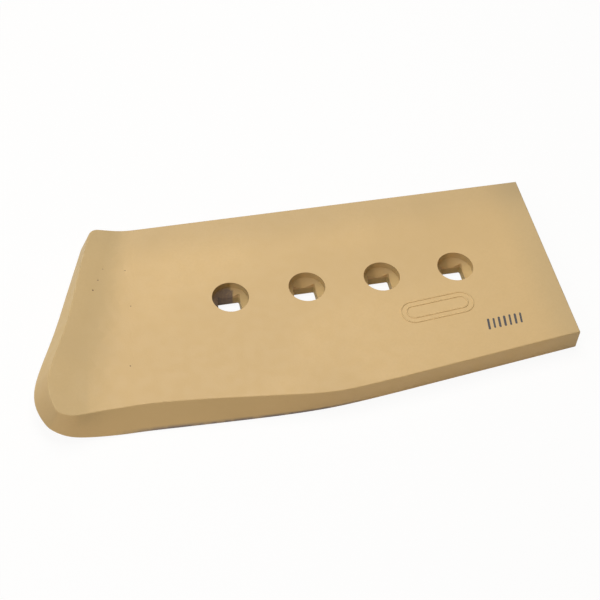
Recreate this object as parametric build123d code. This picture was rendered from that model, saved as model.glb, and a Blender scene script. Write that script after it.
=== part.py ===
from build123d import *
from math import cos, radians, sin, sqrt, tan
import os

# Frame, in millimetres: the plate lies on its flat back, which is z = 0.
# x runs along the length to the inner end, y to the top edge and z out of the front face.
# x = 0, y = 0 is the middle of the row of bolt holes.

# Plate
THICKNESS = 25.0
TOP_EDGE_Y = 101.6
INNER_END_X = 211.7
INNER_CORNER_Y = -100.6
ARRIS_RADIUS = 1.2
TOP_CORNER_RADIUS = 11.0

# Bolt seats: a straight pocket, a cone and a square neck
HOLE_COUNT = 4
HOLE_PITCH = 76.2
POCKET_RADIUS = 18.05
POCKET_DEPTH = 7.5
CONE_HALF_ANGLE = 40.0
NECK_SIDE = 22.5
NECK_CORNER_RADIUS = 1.5

# Wing: the outer end bends forward, tighter at the top edge than at the bottom edge
BEND_ANGLE = 17.0
BEND_TOP_Y = 101.6
BEND_TOP_X = -193.0
BEND_TOP_WIDTH = 22.0
BEND_BOTTOM_Y = -125.0
BEND_BOTTOM_X = -229.0
BEND_BOTTOM_WIDTH = 70.0
WING_REACH = 110.0

# Outline from the straight bottom edge round the outer corner to the top edge.
# Each row is the back arris x, y and the front arris x, y; where they differ the edge is bevelled.
EDGE_STATIONS = (
    (40.0, -120.5, 40.0, -120.5),
    (0.0, -124.9, 0.0, -124.8),
    (-35.0, -127.9, -35.0, -127.0),
    (-73.0, -128.9, -72.5, -123.9),
    (-130.0, -127.6, -128.8, -116.8),
    (-186.0, -125.4, -184.6, -111.2),
    (-222.0, -124.2, -221.0, -109.8),
    (-259.0, -124.5, -258.3, -114.3),
    (-275.5, -124.8, -274.5, -118.0),
    (-290.0, -122.1, -285.8, -116.6),
    (-302.3, -114.2, -293.6, -111.8),
    (-311.3, -102.0, -298.8, -103.0),
    (-315.0, -85.5, -300.8, -88.0),
    (-309.4, -60.3, -295.6, -65.5),
    (-287.2, -9.8, -274.3, -16.0),
    (-265.2, 47.4, -255.0, 42.9),
    (-239.8, 115.0, -231.2, 115.0),
)

# Planes that the bevelled outline is drawn out to, beyond both faces
OUTLINE_BELOW = -6.0
OUTLINE_ABOVE = 56.0
OUTLINE_MARGIN = 0.1


def bend_start(y):
    share = (BEND_TOP_Y - y) / (BEND_TOP_Y - BEND_BOTTOM_Y)
    return BEND_TOP_X + (BEND_BOTTOM_X - BEND_TOP_X) * share


def bend_radius(y):
    share = (BEND_TOP_Y - y) / (BEND_TOP_Y - BEND_BOTTOM_Y)
    width = BEND_TOP_WIDTH + (BEND_BOTTOM_WIDTH - BEND_TOP_WIDTH) * share
    return width / sin(radians(BEND_ANGLE))


def surface_height(x, y, level):
    """Height of the back (level 0) or the front (level THICKNESS) at x, y."""
    radius = bend_radius(y) + THICKNESS - level
    distance = bend_start(y) - x
    arc_width = radius * sin(radians(BEND_ANGLE))
    if distance <= 0:
        return level
    if distance < arc_width:
        return level + radius - sqrt(radius * radius - distance * distance)
    arc_rise = radius * (1 - cos(radians(BEND_ANGLE)))
    return level + arc_rise + (distance - arc_width) * tan(radians(BEND_ANGLE))


def wing_section(y):
    """The wing's cross-section in the plane at y: the bend and the straight end."""
    start = bend_start(y)
    inner = bend_radius(y)
    outer = inner + THICKNESS
    half = radians(BEND_ANGLE / 2)
    full = radians(BEND_ANGLE)

    def on_arc(radius, angle):
        return Vector(start - radius * sin(angle), y, THICKNESS + inner - radius * cos(angle))

    along = Vector(-cos(full), 0, sin(full)) * WING_REACH
    back_foot = Vector(start, y, 0)
    front_foot = Vector(start, y, THICKNESS)
    back_end = on_arc(outer, full) + along
    front_end = on_arc(inner, full) + along
    return Wire([
        Edge.make_three_point_arc(back_foot, on_arc(outer, half), on_arc(outer, full)),
        Edge.make_line(on_arc(outer, full), back_end),
        Edge.make_line(back_end, front_end),
        Edge.make_line(front_end, on_arc(inner, full)),
        Edge.make_three_point_arc(on_arc(inner, full), on_arc(inner, half), front_foot),
        Edge.make_line(front_foot, back_foot),
    ])


def bent_slab():
    """The plate before its outline is cut: a flat part and the wing bent up from it."""
    low_y = BEND_BOTTOM_Y - 25.0
    corners = [
        (bend_start(low_y), low_y),
        (INNER_END_X, low_y),
        (INNER_END_X, TOP_EDGE_Y),
        (bend_start(TOP_EDGE_Y), TOP_EDGE_Y),
    ]
    flat = Solid.extrude(Face(Wire.make_polygon(corners)), Vector(0, 0, THICKNESS))
    wing = Solid.make_loft([wing_section(TOP_EDGE_Y), wing_section(low_y)], ruled=True)
    return flat.fuse(wing).clean()


def station_at(row, z):
    """The outline point of one station, drawn out along its bevel to height z."""
    back_x, back_y, front_x, front_y = row
    back_z = surface_height(back_x, back_y, 0.0)
    front_z = surface_height(front_x, front_y, THICKNESS)
    share = (z - back_z) / (front_z - back_z)
    return Vector(back_x + (front_x - back_x) * share, back_y + (front_y - back_y) * share, z)


def outline_wire(z):
    """The outline at height z, drawn out past the top edge and the inner end."""
    points = [station_at(row, z) for row in EDGE_STATIONS]
    inner_corner = Vector(INNER_END_X, INNER_CORNER_Y, z)
    along_bottom = inner_corner - Vector(EDGE_STATIONS[0][0], EDGE_STATIONS[0][1], z)
    inner_bottom = inner_corner + along_bottom * OUTLINE_MARGIN
    inner_top = Vector(inner_bottom.X, points[-1].Y, z)
    return Wire([
        Edge.make_line(inner_bottom, points[0]),
        Edge.make_spline(points, tangents=[points[0] - inner_bottom, points[-1] - points[-2]]),
        Edge.make_line(points[-1], inner_top),
        Edge.make_line(inner_top, inner_bottom),
    ])


def outline_prism():
    return Solid.make_loft([outline_wire(OUTLINE_BELOW), outline_wire(OUTLINE_ABOVE)], ruled=True)


def bolt_seat():
    """The metal removed for one bolt head and its square neck."""
    over = 2.0
    slope = tan(radians(CONE_HALF_ANGLE))
    tip_radius = NECK_SIDE / 2 - 1.0
    cone_depth = (POCKET_RADIUS - tip_radius) / slope
    pocket = Solid.make_cylinder(POCKET_RADIUS, POCKET_DEPTH + over, Plane((0, 0, THICKNESS - POCKET_DEPTH)))
    cone_base = THICKNESS - POCKET_DEPTH - cone_depth
    cone = Solid.make_cone(tip_radius, POCKET_RADIUS, cone_depth, Plane((0, 0, cone_base)))
    neck_face = Face(Wire.make_rect(NECK_SIDE, NECK_SIDE))
    neck = Solid.extrude(neck_face, Vector(0, 0, THICKNESS)).moved(Location((0, 0, -over)))
    neck = neck.fillet(NECK_CORNER_RADIUS, neck.edges().filter_by(Axis.Z))
    return pocket.fuse(cone).fuse(neck)


def is_side(face):
    return abs(face.normal_at().Z) < 0.75


def arrises(body):
    """The edges where the front or the back meets the plate's sides."""
    side_edges = [edge for face in body.faces() if is_side(face) for edge in face.edges()]
    cap_edges = [edge for face in body.faces() if not is_side(face) for edge in face.edges()]
    return [edge for edge in cap_edges if any(edge.is_same(other) for other in side_edges)]


def top_outer_corner(body):
    """The upright edge between the top edge and the outer end."""
    upright = [edge for edge in body.edges() if edge.bounding_box().size.Z > THICKNESS / 2]
    near = [edge for edge in upright if edge.bounding_box().min.Y > TOP_EDGE_Y - 1.0]
    return min(near, key=lambda edge: edge.center().X)


def end_bit():
    body = (bent_slab() & outline_prism()).solids()[0]
    body = body.fillet(TOP_CORNER_RADIUS, [top_outer_corner(body)])
    body = body.fillet(ARRIS_RADIUS, arrises(body))
    for number in range(HOLE_COUNT):
        x = (number - (HOLE_COUNT - 1) / 2) * HOLE_PITCH
        body = body.cut(bolt_seat().moved(Location((x, 0, 0))))
    return body


part = end_bit()
part.label = "end_bit"
os.makedirs("parts", exist_ok=True)
export_step(part, "parts/end_bit.step")
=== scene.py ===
"""Dozer end bit: the bent wear plate that is bolted to the outer end of a blade's cutting edge.

Run as a script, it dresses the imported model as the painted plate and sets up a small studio.
"""
from math import radians
from typing import NamedTuple

import bmesh
import bpy
from bpy.props import (
    FloatProperty,
    FloatVectorProperty,
    IntProperty,
    PointerProperty,
)
from mathutils import Matrix, Vector
from mathutils.bvhtree import BVHTree


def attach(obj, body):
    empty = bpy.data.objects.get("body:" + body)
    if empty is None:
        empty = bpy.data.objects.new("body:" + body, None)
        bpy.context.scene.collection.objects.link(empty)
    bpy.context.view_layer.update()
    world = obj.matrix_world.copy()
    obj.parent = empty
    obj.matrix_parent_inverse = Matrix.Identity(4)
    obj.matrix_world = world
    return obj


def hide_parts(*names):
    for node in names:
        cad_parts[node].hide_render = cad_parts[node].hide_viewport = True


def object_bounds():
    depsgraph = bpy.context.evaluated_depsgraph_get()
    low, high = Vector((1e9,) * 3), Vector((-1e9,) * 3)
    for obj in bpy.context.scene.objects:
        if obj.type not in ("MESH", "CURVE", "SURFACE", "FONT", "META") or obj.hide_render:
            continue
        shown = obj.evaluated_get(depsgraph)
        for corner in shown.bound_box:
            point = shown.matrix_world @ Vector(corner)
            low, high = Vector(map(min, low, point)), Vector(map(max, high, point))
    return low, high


bl_info = {
    "name": "Dozer End Bit",
    "version": (1, 0, 0),
    "blender": (4, 5, 0),
    "location": "View3D > Sidebar > End Bit",
    "description": "Dresses a packed dozer end bit as a painted wear plate in a small studio",
    "category": "Object",
}

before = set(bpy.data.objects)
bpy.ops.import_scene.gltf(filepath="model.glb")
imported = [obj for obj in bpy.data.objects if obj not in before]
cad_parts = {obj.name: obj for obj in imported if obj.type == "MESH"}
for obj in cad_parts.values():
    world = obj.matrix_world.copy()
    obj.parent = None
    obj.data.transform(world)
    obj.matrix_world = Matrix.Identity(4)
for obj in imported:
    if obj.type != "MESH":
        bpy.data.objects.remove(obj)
CAD_LOW, CAD_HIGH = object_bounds()

NODE = "end_bit"
BODY = "root"

MM = 0.001

# Height of the front face on the flat part of the plate
FRONT_Z = 25.0 * MM

# Points of a mesh that are nearer than this are joined
WELD_DISTANCE = 0.001 * MM

# Small casting pits and knocks in the front face: x, y, width and depth in millimetres
PITS = (
    (-237.3, 38.6, 1.3, 0.4),
    (-243.8, 26.3, 1.6, 0.45),
    (-230.6, 52.3, 1.0, 0.35),
    (-209.3, 50.0, 1.1, 0.4),
    (-222.1, -64.8, 1.3, 0.4),
    (-210.8, 5.4, 1.1, 0.4),
)

# How finely the balls that cut the pits are divided, and how far above the plate
# the search for the surface under each of them starts
PIT_BALL_SUBDIVISIONS = 4
PIT_SEARCH_START = 10.0 * MM

# How much large faces lead the shading of their small neighbours, from 1 to 100, where 50 is even
LARGE_FACE_WEIGHT = 100

# Bolt seats: a row of round pockets with a cone and a square neck below each
SEAT_PITCH = 76.2 * MM
SEAT_RADIUS = 18.05 * MM
SEAT_TOP_Z = 24.7 * MM
CONE_TOP_Z = 17.5 * MM
NECK_TOP_Z = 9.0 * MM

# Painted shade and the stain in the bolt seats: how far outside the pocket's wall they start and are
# full,
# and how softly they end below the front face and change at the cone and the neck
SEAT_EDGE_START = 0.4 * MM
SEAT_EDGE_FULL = 0.1 * MM
SEAT_TOP_FADE = 1.0 * MM
CONE_EDGE_FADE = 2.0 * MM
NECK_SHADE_FADE = 1.0 * MM

# Right edge of the stain in the first bolt seat, how softly it ends and how ragged it is,
# and the least that the stain covers between its patches
STAIN_EDGE_X = -108.3 * MM
STAIN_FADE = 3.0 * MM
STAIN_RAG = 1.2 * MM
STAIN_LEAST = 0.8

# Painted shade along the top edge, which is full a little below it and weaker on the wing
TOP_SHADE_WIDTH = 55.0 * MM
TOP_SHADE_FULL = 5.0 * MM
TOP_SHADE_WING_SHARE = 0.4
TOP_SHADE_WING_FADE = 50.0 * MM

# Painted shade along the inner end
END_SHADE_WIDTH = 45.0 * MM

# Where the wing's bend has ended, how far that line leans with y, and how softly it shows
BEND_END_X = -239.0 * MM
BEND_SKEW = 0.159
BEND_FADE = 15.0 * MM

# Where the lower outer corner ends and the straight outer end starts
CORNER_END_Y = -62.0 * MM
CORNER_FADE = 30.0 * MM

# Slopes of the surface, as parts of its unit normal, at which the painted light and shade start and are
# full:
# along x on the wing and on the outer bevel, and along z on the front face
WING_SLOPE = (0.02, 0.28)
BEVEL_SLOPE = (-0.4, -0.78)
FRONT_SLOPE = (0.6, 0.85)

# Lower edge of the plate, where the paint is darker, and how softly the dark band ends
LOW_EDGE_START_X = -262.0 * MM
LOW_EDGE_START_FADE = 70.0 * MM
LOW_EDGE_END_X = 0.0
LOW_EDGE_END_FADE = 30.0 * MM
LOW_EDGE_Y = -100.0 * MM
LOW_EDGE_Y_FADE = 5.0 * MM
LOW_EDGE_HEIGHT = 5.2 * MM
LOW_EDGE_FULL_HEIGHT = 1.04 * MM
LOW_EDGE_LEAST = 0.6

WHITE = (1.0, 1.0, 1.0, 1.0)

# What painted shade and light make of the paint's red, green and blue; above 1 it is painted lighter
TOP_EDGE_PAINTED_SHADE = (0.875, 0.89, 0.925, 1.0)
INNER_END_PAINTED_SHADE = (0.88, 0.91, 0.955, 1.0)
CORNER_PAINTED_SHADE = (0.92, 0.925, 0.935, 1.0)
OUTER_BEVEL_PAINTED_LIGHT = (1.015, 1.055, 1.065, 1.0)
POCKET_PAINTED_SHADE = (1.0, 1.0, 0.95, 1.0)
CONE_PAINTED_SHADE = (0.92, 0.91, 0.88, 1.0)
NECK_PAINTED_SHADE = (0.66, 0.67, 0.54, 1.0)

# Colours of the marks in the paint and of the steel in the pits
POCKET_STAIN = (0.36, 0.22, 0.06, 1.0)
CONE_STAIN = (0.19, 0.135, 0.095, 1.0)
LOW_EDGE_DARK = (0.18, 0.15, 0.15, 1.0)
PIT_DARK = (0.16, 0.1, 0.055, 1.0)
PIT_RUST = (0.28, 0.19, 0.1, 1.0)

# Shine and roughness
PAINT_SHINE = 0.3
PAINT_ROUGHNESS_SPREAD = 0.05
PIT_ROUGHNESS = 0.7
INK_ROUGHNESS = 0.6


class Pattern(NamedTuple):
    """An irregular pattern, with the levels of its noise at which it starts and is full.

    The scale is about the number of patches to the metre.
    """

    scale: float
    detail: float
    start: float = 0.0
    full: float = 1.0
    roughness: float = 0.5


PAINT_MOTTLE = Pattern(scale=7.0, detail=2.0, start=0.38, full=0.62)
PAINT_SPECKLE = Pattern(scale=420.0, detail=3.0, start=0.3, full=0.7)
FINE_GRAIN = Pattern(scale=700.0, detail=4.0)
SLOW_GRAIN = Pattern(scale=90.0, detail=2.0, start=0.3, full=0.7)
STAIN_RIM = Pattern(scale=120.0, detail=2.0, start=0.3, full=0.7)
STAIN_PATCHES = Pattern(scale=420.0, detail=4.0, start=0.3, full=0.5)
LOW_EDGE_PATCHES = Pattern(scale=90.0, detail=3.0, start=0.36, full=0.52)
PIT_PATCHES = Pattern(scale=1500.0, detail=3.0, start=0.35, full=0.65)
INK_WEAR = Pattern(scale=800.0, detail=4.0, start=0.5, full=0.72, roughness=0.6)

# How much the speckle darkens the paint, and how much deeper the slow grain is than the fine one
SPECKLE_STRENGTH = 0.35
SLOW_GRAIN_SHARE = 2.0

# Where the ink is worn it is paler: each colour channel times the first number plus the second
WORN_INK_GAIN = 3.0
WORN_INK_LIFT = 0.03

# Cast oblong: the radius of its ends as a share of its height, and the steps of its curves
OBLONG_END_SHARE = 0.49
OBLONG_END_STEPS = 20
BEAD_STEPS = 24

# Ink strokes: the radius of their ends as a share of their width, the steps of each end,
# how deep they reach into the plate, and the smallest and largest size against the plain one
STROKE_END_SHARE = 0.48
STROKE_END_STEPS = 6
STROKE_SUNK = 0.3 * MM
STROKE_SMALLEST = (0.9, 0.93, 1.0)
STROKE_LARGEST = (1.15, 1.04, 1.0)

# Studio: the gap between the plate and the floor, the camera's sensor and how far it sees
FLOOR_GAP = 0.1 * MM
SENSOR_WIDTH_MM = 36.0
VIEW_DISTANCE = 50.0

# Numbers of the Mix node's sockets that hold colours
MIX_FIRST_COLOUR = 6
MIX_SECOND_COLOUR = 7
MIX_COLOUR_RESULT = 2


class PlateFinish(bpy.types.PropertyGroup):
    """Paint and surface of the plate"""

    paint: FloatVectorProperty(
        name="Paint",
        description="Colour of the paint",
        subtype="COLOR",
        size=3,
        min=0.0,
        max=1.0,
        default=(0.668, 0.458, 0.21),
    )
    roughness: FloatProperty(
        name="Roughness",
        description="How dull the paint is",
        subtype="FACTOR",
        min=0.0,
        max=1.0,
        default=0.55,
    )
    mottle: FloatProperty(
        name="Mottle",
        description="How much the paint varies in tone over the plate",
        subtype="FACTOR",
        min=0.0,
        max=1.0,
        default=0.07,
    )
    # Painted shade on the wing: how much darker its slope and its front arris past the bend are made
    wing_painted_shade: FloatVectorProperty(
        name="Wing painted shade",
        description="How much the painted shade on the wing darkens the paint",
        subtype="COLOR",
        size=3,
        min=0.0,
        max=1.0,
        default=(0.835, 0.855, 0.865),
    )
    grain_depth: FloatProperty(
        name="Grain depth",
        description="Depth of the fine unevenness of the paint",
        subtype="DISTANCE",
        unit="LENGTH",
        min=0.0,
        default=0.00006,
    )
    crease_angle: FloatProperty(
        name="Crease angle",
        description="Faces that meet at more than this angle keep a crisp edge",
        subtype="ANGLE",
        unit="ROTATION",
        default=radians(32),
    )


class CastOutline(bpy.types.PropertyGroup):
    """Plain raised oblong cast on the front face"""

    centre_x: FloatProperty(
        name="Centre X",
        description="Place of the oblong along the plate",
        subtype="DISTANCE",
        unit="LENGTH",
        default=0.082,
    )
    centre_y: FloatProperty(
        name="Centre Y",
        description="Place of the oblong across the plate",
        subtype="DISTANCE",
        unit="LENGTH",
        default=-0.047,
    )
    turn: FloatProperty(
        name="Turn",
        description="How far the oblong is turned on the plate",
        subtype="ANGLE",
        unit="ROTATION",
        default=radians(5),
    )
    length: FloatProperty(
        name="Length",
        description="Length of the oblong",
        subtype="DISTANCE",
        unit="LENGTH",
        min=0.001,
        default=0.074,
    )
    height: FloatProperty(
        name="Height",
        description="Height of the oblong",
        subtype="DISTANCE",
        unit="LENGTH",
        min=0.001,
        default=0.025,
    )
    inner_gap: FloatProperty(
        name="Inner gap",
        description="Distance from the outer oblong to the inner one",
        subtype="DISTANCE",
        unit="LENGTH",
        min=0.0,
        default=0.0055,
    )
    bead_radius: FloatProperty(
        name="Bead radius",
        description="Radius of the rounded bead that draws the oblong",
        subtype="DISTANCE",
        unit="LENGTH",
        min=0.0001,
        default=0.0009,
    )
    bead_proud: FloatProperty(
        name="Bead proud",
        description="How far the bead stands out of the face",
        subtype="DISTANCE",
        unit="LENGTH",
        min=0.0,
        default=0.0007,
    )


class InkMarks(bpy.types.PropertyGroup):
    """Row of plain ink strokes on the front face"""

    count: IntProperty(
        name="Strokes",
        description="Number of ink strokes",
        min=1,
        default=7,
    )
    centre_x: FloatProperty(
        name="Centre X",
        description="Place of the row along the plate",
        subtype="DISTANCE",
        unit="LENGTH",
        default=0.1425,
    )
    centre_y: FloatProperty(
        name="Centre Y",
        description="Place of the row across the plate",
        subtype="DISTANCE",
        unit="LENGTH",
        default=-0.075,
    )
    turn: FloatProperty(
        name="Turn",
        description="How far the row is turned on the plate",
        subtype="ANGLE",
        unit="ROTATION",
        default=radians(4),
    )
    slant: FloatProperty(
        name="Slant",
        description="How far each stroke leans",
        subtype="ANGLE",
        unit="ROTATION",
        default=radians(-12),
    )
    pitch: FloatProperty(
        name="Pitch",
        description="Distance from one stroke to the next",
        subtype="DISTANCE",
        unit="LENGTH",
        default=0.0056,
    )
    length: FloatProperty(
        name="Stroke length",
        description="Length of one stroke",
        subtype="DISTANCE",
        unit="LENGTH",
        default=0.0128,
    )
    width: FloatProperty(
        name="Stroke width",
        description="Width of one stroke",
        subtype="DISTANCE",
        unit="LENGTH",
        default=0.0021,
    )
    film: FloatProperty(
        name="Film",
        description="How far the ink stands out of the paint",
        subtype="DISTANCE",
        unit="LENGTH",
        default=0.00006,
    )
    seed: IntProperty(
        name="Seed",
        description="Picks how the strokes differ from each other",
        default=4,
    )
    ink: FloatVectorProperty(
        name="Ink",
        description="Colour of the ink",
        subtype="COLOR",
        size=3,
        min=0.0,
        max=1.0,
        default=(0.035, 0.032, 0.034),
    )


class Studio(bpy.types.PropertyGroup):
    """Floor, lamps and camera"""

    floor_side: FloatProperty(
        name="Floor side",
        description="Side of the square floor",
        subtype="DISTANCE",
        unit="LENGTH",
        default=12.0,
    )
    floor: FloatVectorProperty(
        name="Floor",
        description="Colour of the floor",
        subtype="COLOR",
        size=3,
        min=0.0,
        max=1.0,
        default=(0.95, 0.9, 0.82),
    )
    floor_glow: FloatProperty(
        name="Floor glow",
        description="Share of plain white that the camera sees in the floor",
        subtype="FACTOR",
        min=0.0,
        max=1.0,
        default=0.92,
    )
    sky: FloatProperty(
        name="Sky",
        description="Strength of the even light from all round",
        default=0.025,
    )
    top_power: FloatProperty(
        name="Top power",
        description="Power of the lamp above and behind the plate",
        subtype="POWER",
        unit="POWER",
        default=21.0,
    )
    top_place: FloatVectorProperty(
        name="Top place",
        description="Where the lamp above and behind the plate hangs",
        subtype="TRANSLATION",
        unit="LENGTH",
        size=3,
        default=(-0.051, 0.534, 1.523),
    )
    left_power: FloatProperty(
        name="Left power",
        description="Power of the lamp to the left",
        subtype="POWER",
        unit="POWER",
        default=9.0,
    )
    left_place: FloatVectorProperty(
        name="Left place",
        description="Where the lamp to the left stands",
        subtype="TRANSLATION",
        unit="LENGTH",
        size=3,
        default=(-1.031, -0.579, 1.151),
    )
    front_power: FloatProperty(
        name="Front power",
        description="Power of the weak warm lamp low in front",
        subtype="POWER",
        unit="POWER",
        default=2.4,
    )
    front_place: FloatVectorProperty(
        name="Front place",
        description="Where the weak warm lamp stands",
        subtype="TRANSLATION",
        unit="LENGTH",
        size=3,
        default=(0.701, -1.316, 0.567),
    )
    front_tint: FloatVectorProperty(
        name="Front tint",
        description="Colour of the weak warm lamp",
        subtype="COLOR",
        size=3,
        min=0.0,
        max=1.0,
        default=(1.0, 0.82, 0.55),
    )
    lamp_side: FloatProperty(
        name="Lamp side",
        description="Side of each square lamp",
        subtype="DISTANCE",
        unit="LENGTH",
        default=1.0,
    )
    eye: FloatVectorProperty(
        name="Camera place",
        description="Where the camera stands",
        subtype="TRANSLATION",
        unit="LENGTH",
        size=3,
        default=(-0.325571, -0.890657, 1.156257),
    )
    look: FloatVectorProperty(
        name="Camera turn",
        description="How the camera is turned",
        subtype="EULER",
        unit="ROTATION",
        size=3,
        default=(radians(38.9124), radians(-3.7357), radians(-12.947)),
    )
    lens: FloatProperty(
        name="Lens",
        description="Focal length of the camera",
        subtype="DISTANCE_CAMERA",
        unit="CAMERA",
        default=90.0,
    )


class NodeSheet:
    """Adds nodes to a material or node group and links them."""

    def __init__(self, tree):
        self.tree = tree

    def add(self, kind, inputs=None, **settings):
        """Adds a node with its settings, and feeds its sockets by name or number."""
        node = self.tree.nodes.new(kind)
        for name, value in settings.items():
            setattr(node, name, value)
        for key, value in (inputs or {}).items():
            self.feed(node.inputs[key], value)
        return node

    def feed(self, socket, value):
        """Links another node's socket to this one, or gives it a plain value."""
        if isinstance(value, bpy.types.NodeSocket):
            self.tree.links.new(value, socket)
        else:
            socket.default_value = value

    def maths(self, operation, *values):
        """The result of one operation on numbers or sockets."""
        node = self.add("ShaderNodeMath", dict(enumerate(values)), operation=operation)
        return node.outputs[0]

    def axes(self, vector):
        """The X, Y and Z of a vector."""
        return self.add("ShaderNodeSeparateXYZ", {"Vector": vector}).outputs


def new_material(name):
    """An empty material and its sheet of nodes."""
    material = bpy.data.materials.new(name)
    material.use_nodes = True
    material.node_tree.nodes.clear()
    return material, NodeSheet(material.node_tree)


def place_on_piece(sheet):
    """The place on the piece, along the piece's own axes."""
    return sheet.add("ShaderNodeTexCoord").outputs["Object"]


def finish_material(sheet, shader):
    """Ends a material in a shader."""
    sheet.add("ShaderNodeOutputMaterial", {"Surface": shader.outputs[0]})


def blend_colour(sheet, factor, first, second, mode="MIX"):
    """Goes from the first colour to the second, or multiplies by it, as the factor grows."""
    inputs = {0: factor, MIX_FIRST_COLOUR: first, MIX_SECOND_COLOUR: second}
    node = sheet.add("ShaderNodeMix", inputs, data_type="RGBA", blend_type=mode)
    return node.outputs[MIX_COLOUR_RESULT]


def ramp(sheet, value, low, high, out_low=0.0, out_high=1.0):
    """The value, drawn smoothly from one range out to another."""
    node = sheet.add(
        "ShaderNodeMapRange",
        {"Value": value, "From Min": low, "From Max": high, "To Min": out_low, "To Max": out_high},
        interpolation_type="SMOOTHSTEP",
    )
    return node.outputs["Result"]


def noise(sheet, place, pattern):
    """The plain noise of a pattern."""
    node = sheet.add(
        "ShaderNodeTexNoise",
        {
            "Vector": place,
            "Scale": pattern.scale,
            "Detail": pattern.detail,
            "Roughness": pattern.roughness,
        },
    )
    return node.outputs["Fac"]


def patches(sheet, place, pattern, low=0.0, high=1.0):
    """A pattern that goes from a low value to a high one."""
    return ramp(sheet, noise(sheet, place, pattern), pattern.start, pattern.full, low, high)


def facing(sheet):
    """The X, Y and Z of the way that the surface faces."""
    return sheet.axes(sheet.add("ShaderNodeNewGeometry").outputs["Normal"])


def distance_from(sheet, value, middle):
    """How far a value is from a middle, on either side."""
    return sheet.maths("ABSOLUTE", sheet.maths("ADD", value, -middle))


def seat_mask(sheet, place):
    """1 inside the four round bolt seats, below the front face."""
    axes = sheet.axes(place)
    from_pair = distance_from(sheet, distance_from(sheet, axes["X"], 0.0), SEAT_PITCH)
    from_seat = distance_from(sheet, from_pair, SEAT_PITCH / 2)
    flat = sheet.add("ShaderNodeCombineXYZ", {"X": from_seat, "Y": axes["Y"]}).outputs[0]
    reach = sheet.add("ShaderNodeVectorMath", {0: flat}, operation="LENGTH").outputs["Value"]
    near = ramp(sheet, reach, SEAT_RADIUS + SEAT_EDGE_START, SEAT_RADIUS + SEAT_EDGE_FULL)
    below = ramp(sheet, axes["Z"], SEAT_TOP_Z, SEAT_TOP_Z - SEAT_TOP_FADE)
    return sheet.maths("MULTIPLY", near, below)


def stain_mask(sheet, place):
    """Where the left part of the first bolt seat is stained."""
    ragged = patches(sheet, place, STAIN_RIM, -STAIN_RAG, STAIN_RAG)
    shifted = sheet.maths("ADD", sheet.axes(place)["X"], ragged)
    left = ramp(sheet, shifted, STAIN_EDGE_X, STAIN_EDGE_X - STAIN_FADE)
    inside = sheet.maths("MULTIPLY", left, seat_mask(sheet, place))
    return sheet.maths("MULTIPLY", inside, patches(sheet, place, STAIN_PATCHES, STAIN_LEAST))


def wing_shade_mask(sheet, place):
    """Grows from 0 on the flat to 1 where the wing has its full slope, out to its arris, for the painted
    shade on the wing.
    """
    faces = facing(sheet)
    axes = sheet.axes(place)
    sloped = ramp(sheet, faces["X"], *WING_SLOPE)
    skewed = sheet.maths("ADD", axes["X"], sheet.maths("MULTIPLY", axes["Y"], -BEND_SKEW))
    past_bend = ramp(sheet, skewed, BEND_END_X, BEND_END_X - BEND_FADE)
    in_front = ramp(sheet, faces["Z"], *FRONT_SLOPE)
    return sheet.maths("MAXIMUM", sloped, sheet.maths("MULTIPLY", past_bend, in_front))


def edge_painted_shade(sheet, place):
    """Darkens the paint towards the top edge and the inner end with painted shade."""
    axes = sheet.axes(place)
    top = ramp(sheet, axes["Y"], CAD_HIGH.y - TOP_SHADE_WIDTH, CAD_HIGH.y - TOP_SHADE_FULL)
    flat_start = BEND_END_X + TOP_SHADE_WING_FADE
    on_flat = ramp(sheet, axes["X"], BEND_END_X, flat_start, TOP_SHADE_WING_SHARE)
    inner = ramp(sheet, axes["X"], CAD_HIGH.x - END_SHADE_WIDTH, CAD_HIGH.x)
    tint = blend_colour(sheet, sheet.maths("MULTIPLY", top, on_flat), WHITE, TOP_EDGE_PAINTED_SHADE)
    return blend_colour(sheet, inner, tint, INNER_END_PAINTED_SHADE, "MULTIPLY")


def outer_bevel_painted_shading(sheet, place):
    """Paints light on the bevel along the outer end, and shade on it round the lower corner."""
    outward = ramp(sheet, facing(sheet)["X"], *BEVEL_SLOPE)
    fade = (CORNER_END_Y - CORNER_FADE, CORNER_END_Y + CORNER_FADE)
    past_corner = ramp(sheet, sheet.axes(place)["Y"], *fade)
    tint = blend_colour(sheet, past_corner, CORNER_PAINTED_SHADE, OUTER_BEVEL_PAINTED_LIGHT)
    return blend_colour(sheet, outward, WHITE, tint)


def dark_low_edge_mask(sheet, place):
    """Where the lowest edge of the plate is darker, in patches."""
    axes = sheet.axes(place)
    low = ramp(sheet, axes["Z"], LOW_EDGE_HEIGHT, LOW_EDGE_FULL_HEIGHT)
    front = ramp(sheet, axes["Y"], LOW_EDGE_Y, LOW_EDGE_Y - LOW_EDGE_Y_FADE)
    left = ramp(sheet, axes["X"], LOW_EDGE_START_X, LOW_EDGE_START_X + LOW_EDGE_START_FADE)
    right = ramp(sheet, axes["X"], LOW_EDGE_END_X, LOW_EDGE_END_X - LOW_EDGE_END_FADE)
    along = sheet.maths("MULTIPLY", left, right)
    band = sheet.maths("MULTIPLY", along, sheet.maths("MULTIPLY", low, front))
    return sheet.maths("MULTIPLY", band, patches(sheet, place, LOW_EDGE_PATCHES, LOW_EDGE_LEAST))


def mottled_paint(sheet, place, finish):
    """The paint's own colour, with faint mottling and speckle."""
    paint = (*finish.paint, 1.0)
    darker = (*[channel * (1.0 - finish.mottle) for channel in finish.paint], 1.0)
    mottled = blend_colour(sheet, patches(sheet, place, PAINT_MOTTLE), darker, paint)
    speckle = patches(sheet, place, PAINT_SPECKLE, 0.0, SPECKLE_STRENGTH)
    return blend_colour(sheet, speckle, mottled, darker)


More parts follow.
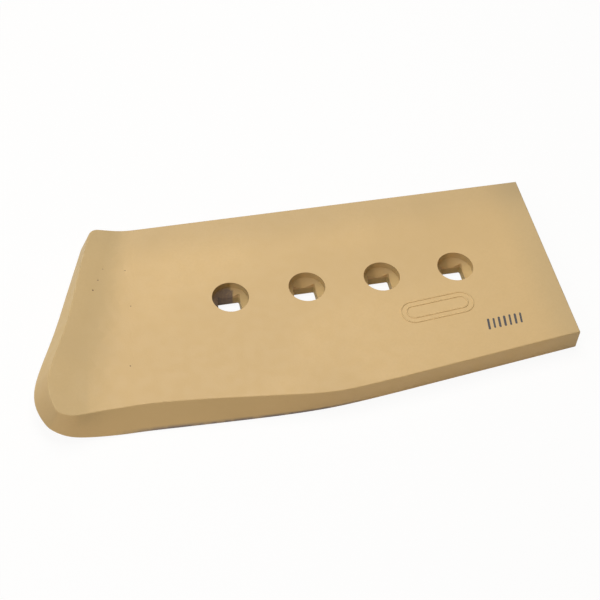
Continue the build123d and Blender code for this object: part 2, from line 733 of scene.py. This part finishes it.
def add_painted_shading(sheet, place, tone, finish):
    """Tones the paint with painted shade on the wing and along the edges, and painted light and shade on
    the outer bevel.
    """
    wing_painted_shade = (*finish.wing_painted_shade, 1.0)
    tone = blend_colour(sheet, wing_shade_mask(sheet, place), tone, wing_painted_shade, "MULTIPLY")
    tone = blend_colour(sheet, 1.0, tone, outer_bevel_painted_shading(sheet, place), "MULTIPLY")
    return blend_colour(sheet, 1.0, tone, edge_painted_shade(sheet, place), "MULTIPLY")


def seats_painted_shade_and_stain(sheet, place, tone):
    """Darkens the paint with painted shade in the bolt seats, and adds the stain in the first one."""
    height = sheet.axes(place)["Z"]
    cone = ramp(sheet, height, CONE_TOP_Z + CONE_EDGE_FADE, CONE_TOP_Z - CONE_EDGE_FADE)
    neck = ramp(sheet, height, NECK_TOP_Z, NECK_TOP_Z - NECK_SHADE_FADE)
    # Painted shade in the recess: slight in the pocket, darker on the cone, darkest in the neck
    seat_shade = blend_colour(sheet, cone, POCKET_PAINTED_SHADE, CONE_PAINTED_SHADE)
    seat_shade = blend_colour(sheet, neck, seat_shade, NECK_PAINTED_SHADE)
    tone = blend_colour(sheet, seat_mask(sheet, place), tone, seat_shade, "MULTIPLY")
    stain = blend_colour(sheet, cone, POCKET_STAIN, CONE_STAIN)
    return blend_colour(sheet, stain_mask(sheet, place), tone, stain)


def paint_surface(sheet, place, finish):
    """The roughness of the paint, and its normal with a fine unevenness."""
    slow = noise(sheet, place, SLOW_GRAIN)
    dullest = finish.roughness + PAINT_ROUGHNESS_SPREAD
    smoothest = finish.roughness - PAINT_ROUGHNESS_SPREAD
    roughness = ramp(sheet, slow, SLOW_GRAIN.start, SLOW_GRAIN.full, smoothest, dullest)
    grain = sheet.maths("MULTIPLY_ADD", slow, SLOW_GRAIN_SHARE, noise(sheet, place, FINE_GRAIN))
    bump = sheet.add(
        "ShaderNodeBump",
        {"Height": grain, "Distance": finish.grain_depth, "Strength": 1.0},
    )
    return roughness, bump.outputs["Normal"]


def plate_paint(finish):
    """Satin paint over a smooth casting, with faint mottling, a few marks, and painted light and shade.
    """
    material, sheet = new_material("plate_paint")
    place = place_on_piece(sheet)
    tone = mottled_paint(sheet, place, finish)
    tone = add_painted_shading(sheet, place, tone, finish)
    tone = seats_painted_shade_and_stain(sheet, place, tone)
    tone = blend_colour(sheet, dark_low_edge_mask(sheet, place), tone, LOW_EDGE_DARK)
    roughness, normal = paint_surface(sheet, place, finish)
    shader = sheet.add(
        "ShaderNodeBsdfPrincipled",
        {
            "Base Color": tone,
            "Roughness": roughness,
            "Specular IOR Level": PAINT_SHINE,
            "Normal": normal,
        },
    )
    finish_material(sheet, shader)
    return material


def pit_steel():
    """Dark scale in the bottom of a pit."""
    material, sheet = new_material("pit_steel")
    rusty = patches(sheet, place_on_piece(sheet), PIT_PATCHES)
    tone = blend_colour(sheet, rusty, PIT_DARK, PIT_RUST)
    surface = {"Base Color": tone, "Roughness": PIT_ROUGHNESS}
    finish_material(sheet, sheet.add("ShaderNodeBsdfPrincipled", surface))
    return material


def marking_ink(ink):
    """Dry black ink that lets a little of the paint through."""
    material, sheet = new_material("marking_ink")
    pale = (*[min(1.0, channel * WORN_INK_GAIN + WORN_INK_LIFT) for channel in ink], 1.0)
    worn = patches(sheet, place_on_piece(sheet), INK_WEAR)
    tone = blend_colour(sheet, worn, (*ink, 1.0), pale)
    surface = {"Base Color": tone, "Roughness": INK_ROUGHNESS}
    finish_material(sheet, sheet.add("ShaderNodeBsdfPrincipled", surface))
    return material


def link_object(name, contents):
    """Puts a mesh, a lamp or a camera in the scene."""
    made = bpy.data.objects.new(name, contents)
    bpy.context.scene.collection.objects.link(made)
    return made


def bake_modifiers(piece):
    """Turns what the modifiers make into the piece's own mesh."""
    depsgraph = bpy.context.evaluated_depsgraph_get()
    made = bpy.data.meshes.new_from_object(piece.evaluated_get(depsgraph))
    piece.modifiers.clear()
    piece.data = made
    return piece


def joined_cad_mesh():
    """The plate's mesh with its loose triangles joined along their edges."""
    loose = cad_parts[NODE].data
    work = bmesh.new()
    work.from_mesh(loose)
    bmesh.ops.remove_doubles(work, verts=work.verts, dist=WELD_DISTANCE)
    work.verts.index_update()
    points = [vertex.co.copy() for vertex in work.verts]
    faces = [[vertex.index for vertex in face.verts] for face in work.faces]
    work.free()
    mesh = bpy.data.meshes.new("end_bit_plate")
    mesh.from_pydata(points, [], faces)
    mesh.update()
    return mesh


def geometry_tree(name, sockets):
    """A geometry node group that makes its own geometry from named inputs."""
    tree = bpy.data.node_groups.new(name, "GeometryNodeTree")
    tree.interface.new_socket("Geometry", in_out="OUTPUT", socket_type="NodeSocketGeometry")
    for label, kind in sockets.items():
        tree.interface.new_socket(label, in_out="INPUT", socket_type="NodeSocket" + kind)
    sheet = NodeSheet(tree)
    return tree, sheet, sheet.add("NodeGroupInput").outputs


def close_tree(sheet, geometry, material):
    """Ends a tree in real faces with their material."""
    real = sheet.add("GeometryNodeRealizeInstances", {"Geometry": geometry})
    painted = sheet.add("GeometryNodeSetMaterial", {"Geometry": real.outputs[0], "Material": material})
    sheet.add("NodeGroupOutput", {"Geometry": painted.outputs[0]})


def close_turned_tree(sheet, geometry, given):
    """Ends a tree in real faces at the place and with the turn that are given."""
    turned = sheet.add(
        "GeometryNodeTransform",
        {"Geometry": geometry, "Translation": given["Place"], "Rotation": given["Turn"]},
    )
    close_tree(sheet, turned.outputs[0], given["Material"])


def grow(name, tree, values, mesh=None):
    """Makes a piece from a node group and its named values."""
    piece = link_object(name, mesh or bpy.data.meshes.new(name))
    modifier = piece.modifiers.new("Shape", "NODES")
    modifier.node_group = tree
    for item in tree.interface.items_tree:
        if item.in_out == "INPUT" and item.name in values:
            modifier[item.identifier] = values[item.name]
    piece.update_tag()
    return bake_modifiers(piece)


def pit_tree():
    """A ball on each given point, drawn out to its own radius, whose tip cuts a pit."""
    tree, sheet, given = geometry_tree("Casting pits", {"Points": "Geometry", "Material": "Material"})
    ball = sheet.add("GeometryNodeMeshIcoSphere", {"Radius": 1.0, "Subdivisions": PIT_BALL_SUBDIVISIONS})
    size = sheet.add("GeometryNodeInputNamedAttribute", {"Name": "ball_radius"}, data_type="FLOAT")
    placed = sheet.add(
        "GeometryNodeInstanceOnPoints",
        {"Points": given["Points"], "Instance": ball.outputs["Mesh"], "Scale": size.outputs[0]},
    )
    close_tree(sheet, placed.outputs[0], given["Material"])
    return tree


def pit_points(surface):
    """A ball's centre and radius for each pit, measured from the surface under it."""
    centres = []
    radii = []
    for x, y, width, depth in PITS:
        above = Vector((x * MM, y * MM, CAD_HIGH.z + PIT_SEARCH_START))
        hit, normal = surface.ray_cast(above, Vector((0.0, 0.0, -1.0)))[:2]
        radius = (width * width / 4 + depth * depth) / (2 * depth) * MM
        centres.append(hit + normal * (radius - depth * MM))
        radii.append(radius)
    mesh = bpy.data.meshes.new("pit_points")
    mesh.from_pydata(centres, [], [])
    mesh.attributes.new("ball_radius", "FLOAT", "POINT").data.foreach_set("value", radii)
    return mesh


def cut_pits(plate):
    """Takes the tips of the pit balls out of the plate."""
    surface = BVHTree.FromPolygons(
        [vertex.co for vertex in plate.data.vertices],
        [polygon.vertices for polygon in plate.data.polygons],
    )
    balls = grow("pit_balls", pit_tree(), {"Material": pit_steel()}, pit_points(surface))
    cut = plate.modifiers.new("Pits", "BOOLEAN")
    cut.operation = "DIFFERENCE"
    cut.solver = "EXACT"
    cut.material_mode = "TRANSFER"
    cut.object = balls
    bake_modifiers(plate)
    bpy.data.objects.remove(balls)


def shade_smooth(piece):
    """Shades every face of a piece as part of a round surface."""
    for polygon in piece.data.polygons:
        polygon.use_smooth = True


def shade_crisp(piece, crease_angle):
    """Smooth shading that keeps the flats flat and the corners crisp."""
    shade_smooth(piece)
    piece.data.set_sharp_from_angle(angle=crease_angle)
    weighted = piece.modifiers.new("Flats", "WEIGHTED_NORMAL")
    weighted.keep_sharp = True
    weighted.weight = LARGE_FACE_WEIGHT


def rounded_rectangle(sheet, width, height, radius, steps):
    """A closed curve round a rectangle with round corners."""
    sides = {"Width": width, "Height": height}
    rectangle = sheet.add("GeometryNodeCurvePrimitiveQuadrilateral", sides, mode="RECTANGLE")
    rounded = sheet.add(
        "GeometryNodeFilletCurve",
        {"Curve": rectangle.outputs[0], "Radius": radius, "Count": steps},
        mode="POLY",
    )
    return rounded.outputs[0]


def oblong(sheet, length, height):
    """A closed curve round an oblong with round ends."""
    radius = sheet.maths("MULTIPLY", height, OBLONG_END_SHARE)
    return rounded_rectangle(sheet, length, height, radius, OBLONG_END_STEPS)


def outline_tree():
    """A rounded bead that follows a plain oblong, and a smaller one inside it."""
    tree, sheet, given = geometry_tree(
        "Cast oblong",
        {
            "Length": "Float",
            "Height": "Float",
            "Inner gap": "Float",
            "Bead radius": "Float",
            "Place": "Vector",
            "Turn": "Vector",
            "Material": "Material",
        },
    )
    shrink = sheet.maths("MULTIPLY", given["Inner gap"], -2.0)
    inner_length = sheet.maths("ADD", given["Length"], shrink)
    inner_height = sheet.maths("ADD", given["Height"], shrink)
    both = sheet.add("GeometryNodeJoinGeometry")
    sheet.feed(both.inputs[0], oblong(sheet, given["Length"], given["Height"]))
    sheet.feed(both.inputs[0], oblong(sheet, inner_length, inner_height))
    bead_size = {"Radius": given["Bead radius"], "Resolution": BEAD_STEPS}
    profile = sheet.add("GeometryNodeCurvePrimitiveCircle", bead_size)
    bead = sheet.add(
        "GeometryNodeCurveToMesh",
        {"Curve": both.outputs[0], "Profile Curve": profile.outputs[0]},
    )
    close_turned_tree(sheet, bead.outputs[0], given)
    return tree


def stroke_bar(sheet, given):
    """One stroke: a thin slab with round ends, closed on all sides."""
    radius = sheet.maths("MULTIPLY", given["Width"], STROKE_END_SHARE)
    rim = rounded_rectangle(sheet, given["Width"], given["Length"], radius, STROKE_END_STEPS)
    flat = sheet.add("GeometryNodeFillCurve", {"Curve": rim}, mode="NGONS")
    thick = sheet.add(
        "GeometryNodeExtrudeMesh",
        {"Mesh": flat.outputs[0], "Offset Scale": given["Depth"], "Individual": False},
        mode="FACES",
    )
    under = sheet.add("GeometryNodeFlipFaces", {"Mesh": flat.outputs[0]})
    slab = sheet.add("GeometryNodeJoinGeometry")
    sheet.feed(slab.inputs[0], thick.outputs["Mesh"])
    sheet.feed(slab.inputs[0], under.outputs[0])
    closed = sheet.add(
        "GeometryNodeMergeByDistance",
        {"Geometry": slab.outputs[0], "Distance": WELD_DISTANCE},
    )
    return closed.outputs[0]


def stroke_tree():
    """A row of like strokes, each a little off the plain size."""
    tree, sheet, given = geometry_tree(
        "Ink strokes",
        {
            "Count": "Int",
            "Pitch": "Float",
            "Length": "Float",
            "Width": "Float",
            "Depth": "Float",
            "Slant": "Vector",
            "Seed": "Int",
            "Place": "Vector",
            "Turn": "Vector",
            "Material": "Material",
        },
    )
    step = sheet.add("ShaderNodeCombineXYZ", {"X": given["Pitch"]})
    spacing = {"Count": given["Count"], "Offset": step.outputs[0]}
    row = sheet.add("GeometryNodeMeshLine", spacing, mode="OFFSET")
    limits = {0: STROKE_SMALLEST, 1: STROKE_LARGEST, "Seed": given["Seed"]}
    size = sheet.add("FunctionNodeRandomValue", limits, data_type="FLOAT_VECTOR")
    placed = sheet.add(
        "GeometryNodeInstanceOnPoints",
        {
            "Points": row.outputs[0],
            "Instance": stroke_bar(sheet, given),
            "Rotation": given["Slant"],
            "Scale": size.outputs[0],
        },
    )
    close_turned_tree(sheet, placed.outputs[0], given)
    return tree


class ENDBIT_OT_plate(bpy.types.Operator):
    """Make the painted plate with its bend, bevels, bolt seats and small pits"""

    bl_idname = "end_bit.plate"
    bl_label = "Painted plate"

    def execute(self, context):
        finish = context.scene.end_bit_plate
        mesh = joined_cad_mesh()
        mesh.materials.append(plate_paint(finish))
        plate = link_object("end_bit_plate", mesh)
        cut_pits(plate)
        shade_crisp(plate, finish.crease_angle)
        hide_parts(NODE)
        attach(plate, BODY)
        return {"FINISHED"}


class ENDBIT_OT_cast_outline(bpy.types.Operator):
    """Make the plain raised oblong on the front face"""

    bl_idname = "end_bit.cast_outline"
    bl_label = "Cast oblong"

    def execute(self, context):
        cast = context.scene.end_bit_outline
        bead_middle_z = FRONT_Z + cast.bead_proud - cast.bead_radius
        values = {
            "Length": cast.length,
            "Height": cast.height,
            "Inner gap": cast.inner_gap,
            "Bead radius": cast.bead_radius,
            "Place": (cast.centre_x, cast.centre_y, bead_middle_z),
            "Turn": (0.0, 0.0, cast.turn),
            "Material": bpy.data.materials["plate_paint"],
        }
        outline = grow("cast_outline", outline_tree(), values)
        shade_smooth(outline)
        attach(outline, BODY)
        return {"FINISHED"}


class ENDBIT_OT_ink_marks(bpy.types.Operator):
    """Make the row of plain ink strokes on the front face"""

    bl_idname = "end_bit.ink_marks"
    bl_label = "Ink strokes"

    def execute(self, context):
        marks = context.scene.end_bit_ink
        turn = Matrix.Rotation(marks.turn, 3, "Z")
        start = turn @ Vector((-marks.pitch * (marks.count - 1) / 2, 0.0, 0.0))
        first_stroke = (marks.centre_x + start.x, marks.centre_y + start.y, FRONT_Z - STROKE_SUNK)
        values = {
            "Count": marks.count,
            "Pitch": marks.pitch,
            "Length": marks.length,
            "Width": marks.width,
            "Depth": STROKE_SUNK + marks.film,
            "Slant": (0.0, 0.0, marks.slant),
            "Seed": marks.seed,
            "Place": first_stroke,
            "Turn": (0.0, 0.0, marks.turn),
            "Material": marking_ink(marks.ink),
        }
        strokes = grow("ink_strokes", stroke_tree(), values)
        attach(strokes, BODY)
        return {"FINISHED"}


def seen_directly(sheet):
    """1 for what the camera sees, also in a reflection or through glass."""
    path = sheet.add("ShaderNodeLightPath").outputs
    plain_or_glossy = sheet.maths("MAXIMUM", path["Is Camera Ray"], path["Is Glossy Ray"])
    return sheet.maths("MAXIMUM", plain_or_glossy, path["Is Transmission Ray"])


def floor_material(studio):
    """Pale floor that the camera sees as near white, and that keeps the shadow."""
    material, sheet = new_material("studio_floor")
    pale = sheet.add("ShaderNodeBsdfDiffuse", {"Color": (*studio.floor, 1.0)})
    white = sheet.add("ShaderNodeEmission", {"Color": WHITE, "Strength": 1.0})
    share = sheet.maths("MULTIPLY", seen_directly(sheet), studio.floor_glow)
    parts = {0: share, 1: pale.outputs[0], 2: white.outputs[0]}
    finish_material(sheet, sheet.add("ShaderNodeMixShader", parts))
    return material


def studio_sky(strength):
    """Weak even light, with plain white behind what the camera sees."""
    world = bpy.data.worlds.new("studio_sky")
    world.use_nodes = True
    world.node_tree.nodes.clear()
    sheet = NodeSheet(world.node_tree)
    level = sheet.add("ShaderNodeMapRange", {"Value": seen_directly(sheet), "To Min": strength})
    light = sheet.add("ShaderNodeBackground", {"Color": WHITE, "Strength": level.outputs[0]})
    sheet.add("ShaderNodeOutputWorld", {"Surface": light.outputs[0]})
    bpy.context.scene.world = world


def add_lamp(name, place, power, side, tint=WHITE[:3]):
    """A square lamp at a place, turned to the middle of the plate."""
    light = bpy.data.lights.new(name, "AREA")
    light.energy = power
    light.color = tint
    light.size = side
    lamp = link_object(name, light)
    towards = (CAD_LOW + CAD_HIGH) / 2 - Vector(place)
    lamp.location = place
    lamp.rotation_euler = towards.to_track_quat("-Z", "Y").to_euler()
    lamp.visible_camera = False


def add_floor(studio):
    """A square floor just under the plate."""
    half = studio.floor_side / 2
    level = CAD_LOW.z - FLOOR_GAP
    corners = [(-half, -half, level), (half, -half, level), (half, half, level), (-half, half, level)]
    mesh = bpy.data.meshes.new("studio_floor")
    mesh.from_pydata(corners, [], [(0, 1, 2, 3)])
    mesh.materials.append(floor_material(studio))
    link_object("studio_floor", mesh)


def add_camera(studio):
    """The camera at the photograph's viewing angle."""
    optics = bpy.data.cameras.new("studio_camera")
    optics.lens = studio.lens
    optics.sensor_width = SENSOR_WIDTH_MM
    optics.clip_end = VIEW_DISTANCE
    camera = link_object("studio_camera", optics)
    camera.location = studio.eye
    camera.rotation_euler = studio.look
    bpy.context.scene.camera = camera


class ENDBIT_OT_studio(bpy.types.Operator):
    """Make the floor, the lamps, the sky and the camera"""

    bl_idname = "end_bit.studio"
    bl_label = "Studio"

    def execute(self, context):
        studio = context.scene.end_bit_studio
        side = studio.lamp_side
        add_floor(studio)
        studio_sky(studio.sky)
        add_lamp("top_lamp", studio.top_place, studio.top_power, side)
        add_lamp("left_lamp", studio.left_place, studio.left_power, side)
        add_lamp("front_lamp", studio.front_place, studio.front_power, side, studio.front_tint)
        add_camera(studio)
        context.scene.view_settings.view_transform = "Standard"
        return {"FINISHED"}


class ENDBIT_PT_panel(bpy.types.Panel):
    """Lists the pieces of the end bit and their sizes"""

    bl_idname = "ENDBIT_PT_panel"
    bl_label = "Dozer End Bit"
    bl_space_type = "VIEW_3D"
    bl_region_type = "UI"
    bl_category = "End Bit"

    def draw(self, context):
        for operator, settings, group in STEPS:
            box = self.layout.box()
            box.operator(operator.bl_idname)
            for name in group.__annotations__:
                box.prop(getattr(context.scene, settings), name)


# Each operator, the name of its settings on the scene and their group
STEPS = (
    (ENDBIT_OT_plate, "end_bit_plate", PlateFinish),
    (ENDBIT_OT_cast_outline, "end_bit_outline", CastOutline),
    (ENDBIT_OT_ink_marks, "end_bit_ink", InkMarks),
    (ENDBIT_OT_studio, "end_bit_studio", Studio),
)


def register():
    """Adds the settings, the operators and the panel."""
    for operator, settings, group in STEPS:
        bpy.utils.register_class(group)
        setattr(bpy.types.Scene, settings, PointerProperty(type=group))
        bpy.utils.register_class(operator)
    bpy.utils.register_class(ENDBIT_PT_panel)


def unregister():
    """Takes the panel, the operators and the settings away again."""
    bpy.utils.unregister_class(ENDBIT_PT_panel)
    for operator, settings, group in reversed(STEPS):
        bpy.utils.unregister_class(operator)
        delattr(bpy.types.Scene, settings)
        bpy.utils.unregister_class(group)


def main():
    """Makes every piece in order."""
    register()
    bpy.ops.end_bit.plate()
    bpy.ops.end_bit.cast_outline()
    bpy.ops.end_bit.ink_marks()
    bpy.ops.end_bit.studio()


if __name__ == "__main__":
    main()
